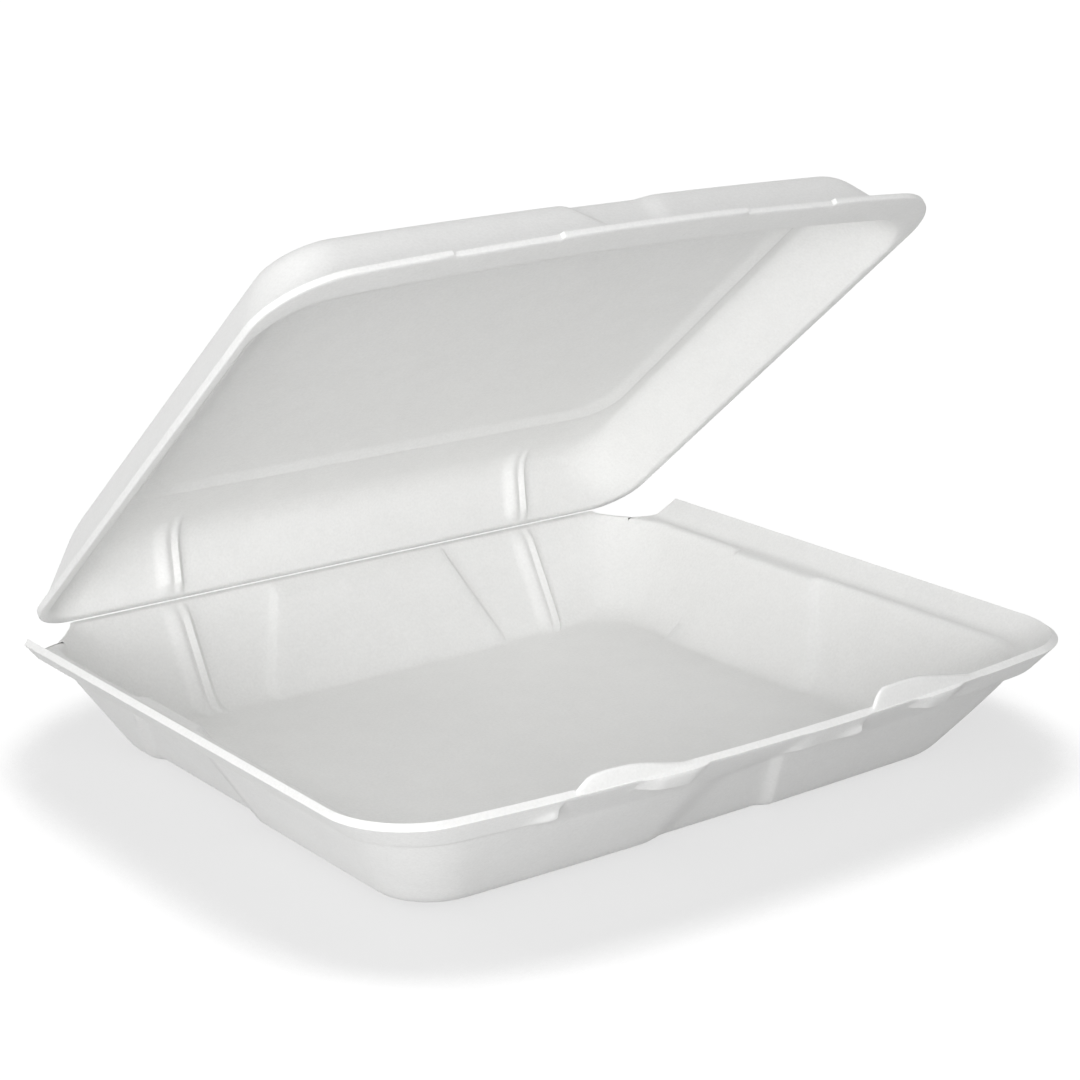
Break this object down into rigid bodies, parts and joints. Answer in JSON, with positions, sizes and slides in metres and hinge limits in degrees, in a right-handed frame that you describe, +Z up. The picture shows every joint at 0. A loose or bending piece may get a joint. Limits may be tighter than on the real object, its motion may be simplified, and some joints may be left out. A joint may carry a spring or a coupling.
{
  "type": "foam clamshell container",
  "caption": "Shallow thermoformed foam food container with a creased, domed lid standing open, a flared front and side collar and two latch ears.",
  "frame": {"origin": "centre of the tray's flat underside, on the surface it stands on", "axes": "+Z up, -Y towards the front with the latch ears, +Y towards the crease, X along the crease"},
  "size_m": [0.2402, 0.2062, 0.1612],
  "materials": {
    "foam_sheet": "white expanded polystyrene sheet, thermoformed, soft satin skin with a fine bead grain"
  },
  "bodies": {
    "tray": {"base_tray": "foam_sheet"},
    "cover": {"lid": "foam_sheet"}
  },
  "joints": [
    {"name": "lid_hinge", "type": "hinge", "parent": "tray", "child": "cover", "pos_m": [0, 0.0942, 0.032], "axis": [-1, 0, 0], "range_deg": [-40, 140]}
  ]
}
